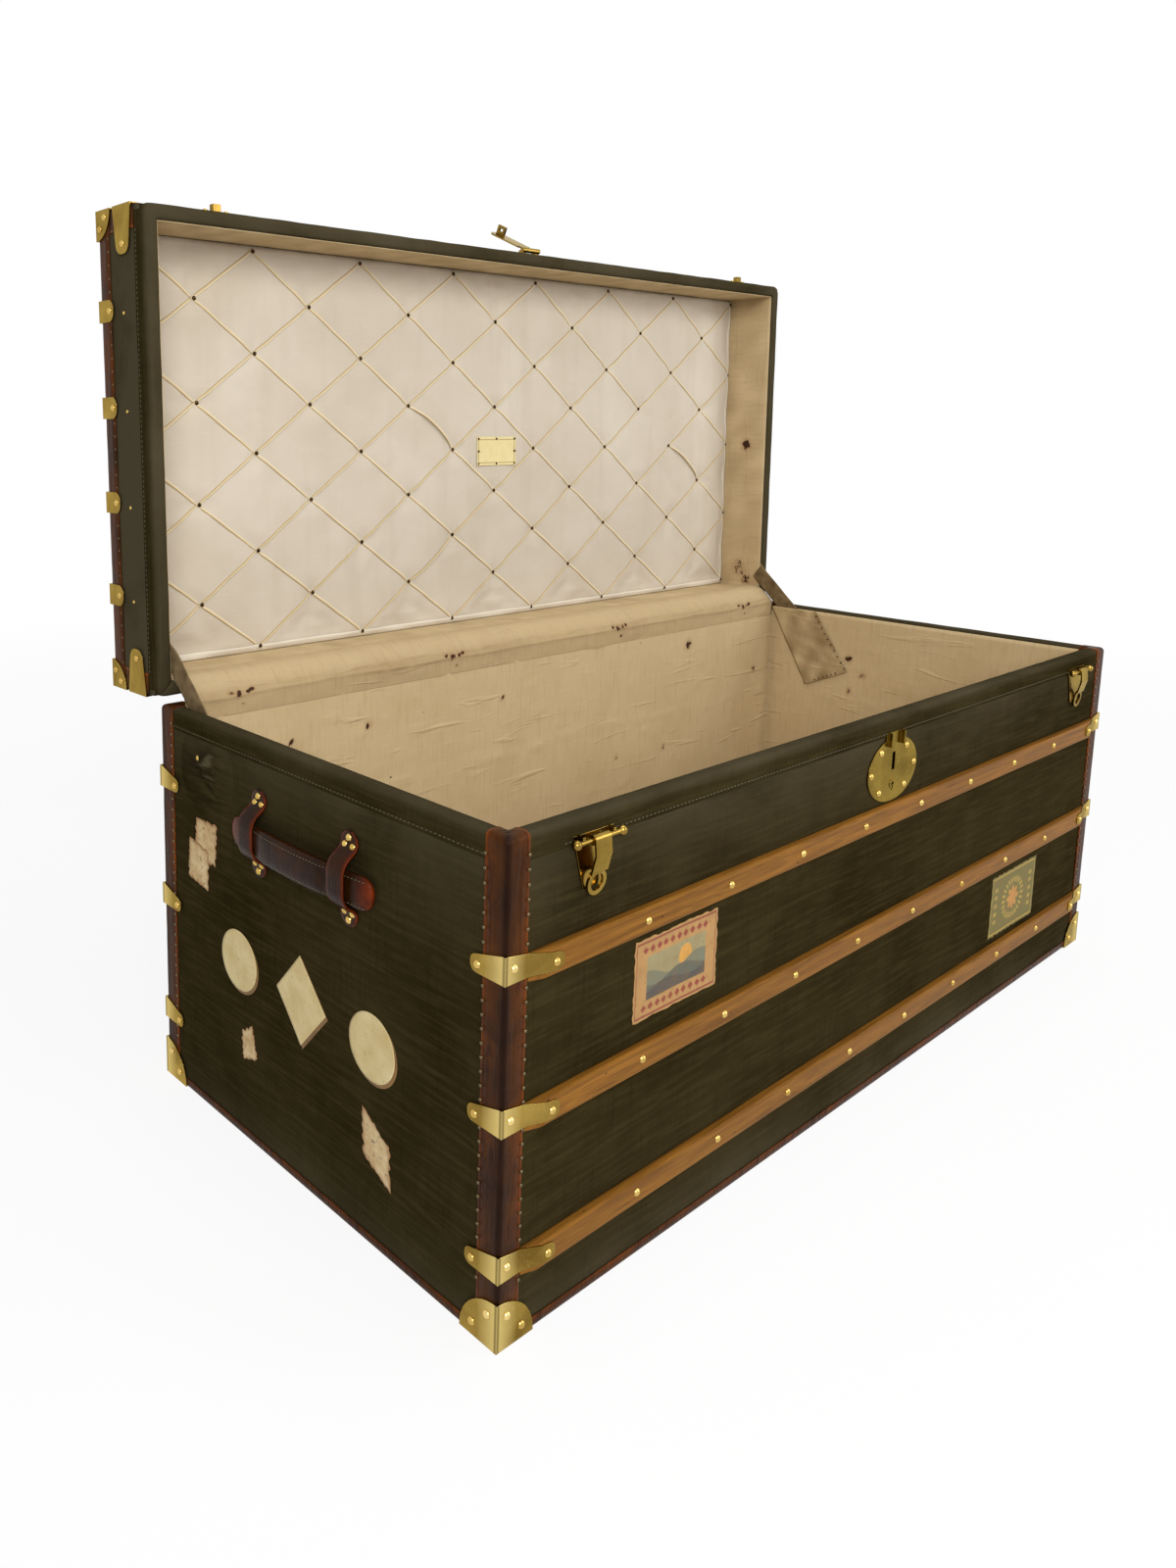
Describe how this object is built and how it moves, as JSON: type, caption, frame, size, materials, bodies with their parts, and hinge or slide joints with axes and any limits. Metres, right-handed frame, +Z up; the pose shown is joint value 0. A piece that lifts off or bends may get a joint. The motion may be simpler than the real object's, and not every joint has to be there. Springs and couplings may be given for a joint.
{
  "type": "travel trunk",
  "caption": "Flat-topped travel trunk with a hinged padded lid, canvas cover, leather bindings, wooden slats, brass clamps, lock, latches and side handles.",
  "frame": {"origin": "middle of the underside", "axes": "+X to the right along the length seen from the front, -Y the front with the lock, +Z up; stored with the lid open"},
  "size_m": [1.1368, 0.6158, 0.9374],
  "materials": {
    "board": "sawn poplar",
    "canvas": "dark olive coated canvas, worn",
    "lining": "beige lining canvas",
    "pad": "ivory woven fabric",
    "binding": "oxblood leather",
    "slat": "varnished honey-coloured beech",
    "brass": "aged brass",
    "handle": "dark polished leather",
    "steel": "dull steel"
  },
  "bodies": {
    "trunk": {"back_panel": "board", "back_slat_clamps": "brass", "back_slat_lower": "slat", "back_slat_middle": "slat", "back_slat_upper": "slat", "body_canvas": "canvas", "body_lining": "lining", "body_rim": "canvas", "body_rivets": "brass", "bottom_canvas": "canvas", "bottom_corner_caps": "brass", "bottom_edge_leathers": "binding", "bottom_panel": "board", "corner_leathers": "binding", "front_panel": "board", "front_slat_clamps": "brass", "front_slat_lower": "slat", "front_slat_middle": "slat", "front_slat_upper": "slat", "handle_rivets": "brass", "hinge_body_leaves": "steel", "hinge_cloth": "lining", "hinge_pins": "steel", "left_handle_loops": "handle", "left_latch_plate": "brass", "left_lid_stay": "canvas", "left_panel": "board", "lock_case": "steel", "lock_plate": "brass", "right_handle_loops": "handle", "right_latch_plate": "brass", "right_lid_stay": "canvas", "right_panel": "board"},
    "lid": {"lid_back_wall": "board", "lid_canvas": "canvas", "lid_corner_caps": "brass", "lid_corner_clamps": "brass", "lid_corner_leathers": "binding", "lid_edge_leathers": "binding", "lid_front_wall": "board", "lid_left_wall": "board", "lid_lining": "lining", "lid_pad": "pad", "lid_right_wall": "board", "lid_rim": "canvas", "lid_rivets": "brass", "lid_slat_back": "slat", "lid_slat_clamps": "brass", "lid_slat_front": "slat", "lid_slat_second": "slat", "lid_slat_third": "slat", "lid_top_panel": "board", "hinge_lid_leaves": "steel", "hasp_base": "brass", "latch_keepers": "brass"},
    "hasp": {"hasp": "brass"},
    "left_lever": {"left_latch_lever": "brass"},
    "right_lever": {"right_latch_lever": "brass"},
    "left_grip": {"left_handle_grip": "handle"},
    "right_grip": {"right_handle_grip": "handle"}
  },
  "joints": [
    {"name": "lid_hinge", "type": "hinge", "parent": "trunk", "child": "lid", "pos_m": [0, 0.2481, 0.4023], "axis": [1, 0, 0], "range_deg": [0, 91], "deforming": ["left_lid_stay", "right_lid_stay", "hinge_cloth"]},
    {"name": "hasp_hinge", "type": "hinge", "parent": "lid", "child": "hasp", "pos_m": [0, 0.26907, 0.89881], "axis": [1, 0, 0], "range_deg": [0, 155]},
    {"name": "left_latch_hinge", "type": "hinge", "parent": "trunk", "child": "left_lever", "pos_m": [-0.46, -0.251, 0.384], "axis": [-1, 0, 0], "range_deg": [0, 187]},
    {"name": "right_latch_hinge", "type": "hinge", "parent": "trunk", "child": "right_lever", "pos_m": [0.46, -0.251, 0.384], "axis": [-1, 0, 0], "range_deg": [0, 187]},
    {"name": "left_grip_lift", "type": "slide", "parent": "trunk", "child": "left_grip", "axis": [0, 0, 1], "range_m": [0, 0.006]},
    {"name": "right_grip_lift", "type": "slide", "parent": "trunk", "child": "right_grip", "axis": [0, 0, 1], "range_m": [0, 0.006]}
  ]
}
